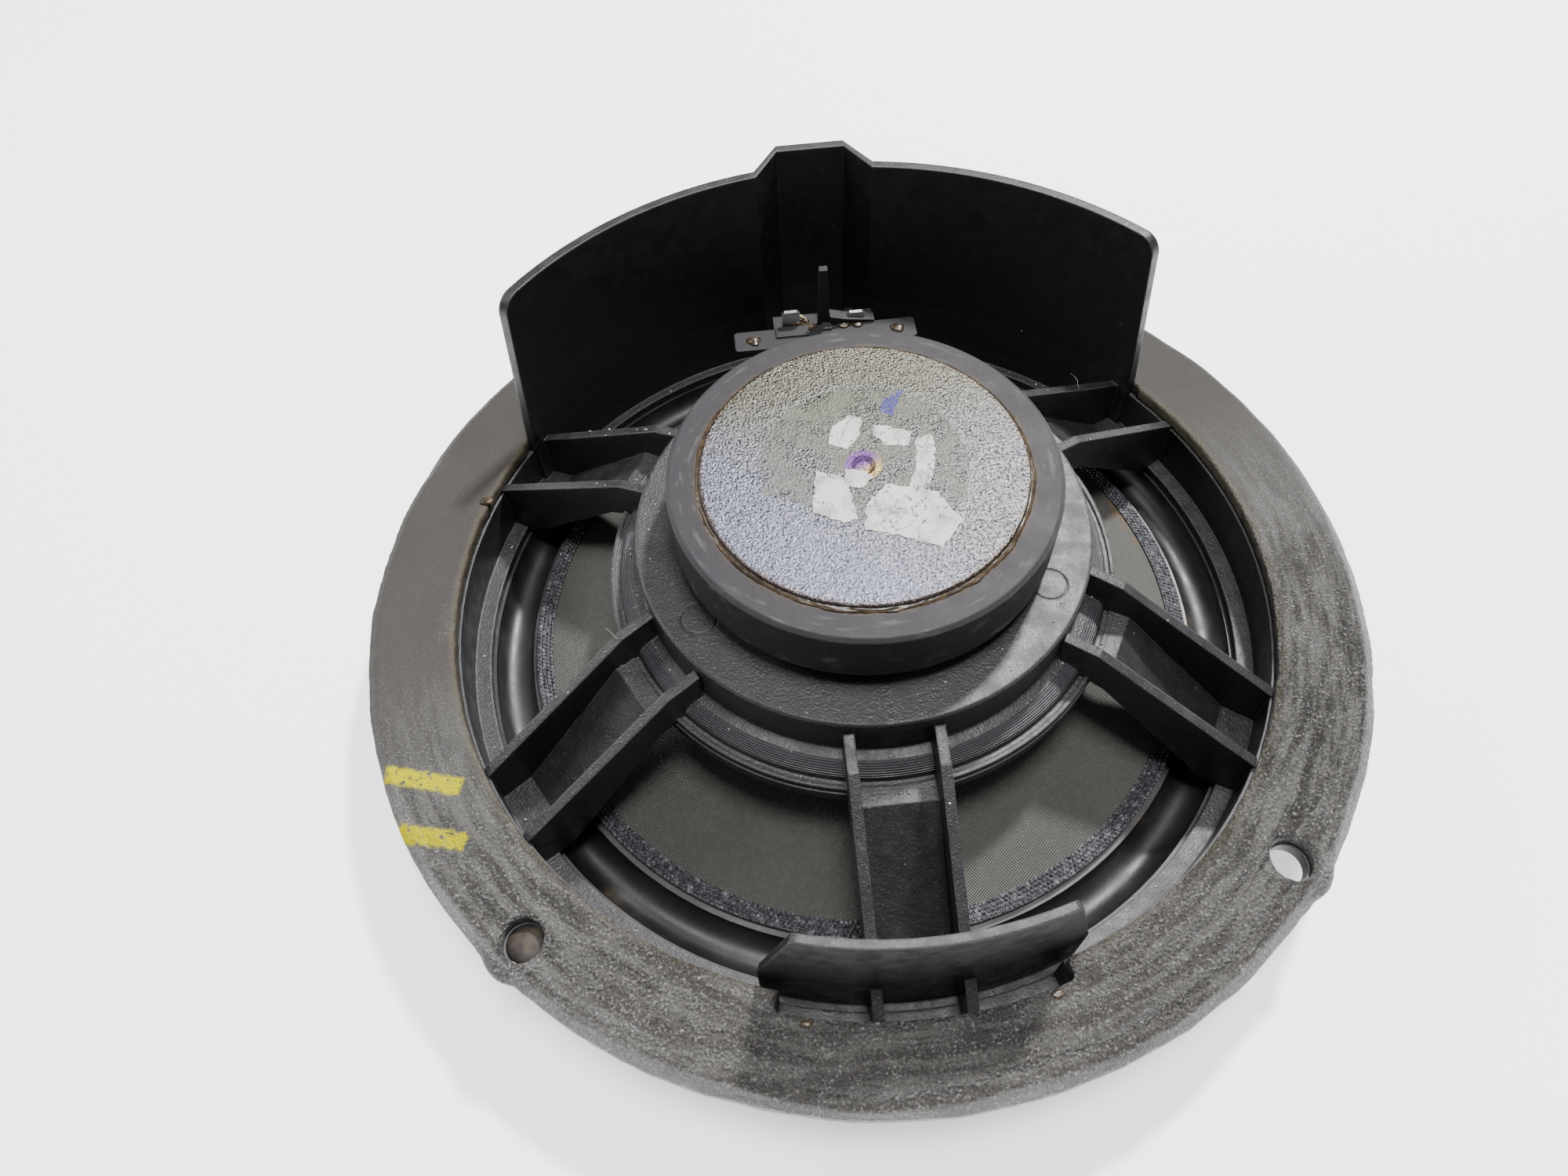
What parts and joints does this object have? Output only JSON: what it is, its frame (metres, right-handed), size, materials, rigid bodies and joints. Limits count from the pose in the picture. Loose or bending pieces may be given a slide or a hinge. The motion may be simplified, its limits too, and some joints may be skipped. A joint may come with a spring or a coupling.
{
  "type": "car door woofer loudspeaker",
  "caption": "Round car door woofer with a ferrite magnet, spoked plastic basket with rain shield, foam rear gasket, sprung cone and blade terminals.",
  "frame": {"origin": "on the speaker's axis, in the plane of the front rim that it stands on", "axes": "+Z from the front rim to the back of the magnet, +Y towards the terminals and the rain shield"},
  "size_m": [0.1972, 0.1972, 0.0605],
  "materials": {
    "basket_plastic": "fine-grained black moulding, worn edges",
    "gasket_foam": "aged crinkled foam skin",
    "rim_plastic": "satin moulding",
    "surround_rubber": "smooth",
    "cone_weave": "coated weave",
    "edge_band_weave": "stitched",
    "cap_weave": "coated weave",
    "former_aluminium": "rolled foil",
    "copper_wire": "enamelled",
    "spider_cloth": "impregnated cloth",
    "spider_ring_plastic": "gloss",
    "plate_steel": "zinc plated",
    "ferrite": "ground",
    "yoke_steel": "zinc plated, orange peel",
    "terminal_plastic": "satin",
    "tinned_brass": "tinned",
    "eyelet_brass": "plain",
    "tinsel_braid": "braided"
  },
  "bodies": {
    "frame_body": {"basket": "basket_plastic", "rain_shield": "basket_plastic", "locating_tab": "basket_plastic", "rear_gasket": "gasket_foam", "clamp_ring": "rim_plastic", "surround": "surround_rubber", "spider": "spider_cloth", "spider_ring": "spider_ring_plastic", "front_plate": "plate_steel", "magnet": "ferrite", "pole_yoke": "yoke_steel", "terminal_block": "terminal_plastic", "terminal_blade_left": "tinned_brass", "terminal_blade_right": "tinned_brass", "tinsel_lead_left": "tinsel_braid", "tinsel_lead_right": "tinsel_braid"},
    "cone_assembly": {"cone": "cone_weave", "edge_band": "edge_band_weave", "dust_cap": "cap_weave", "coil_former": "former_aluminium", "coil_winding": "copper_wire", "lead_eyelet_left": "eyelet_brass", "lead_eyelet_right": "eyelet_brass"}
  },
  "joints": [
    {"name": "cone_travel", "type": "slide", "parent": "frame_body", "child": "cone_assembly", "axis": [0, 0, 1], "range_m": [-0.004, 0.004], "stiffness_N_per_m": 1500, "deforming": ["surround", "spider", "tinsel_lead_left", "tinsel_lead_right"]}
  ]
}
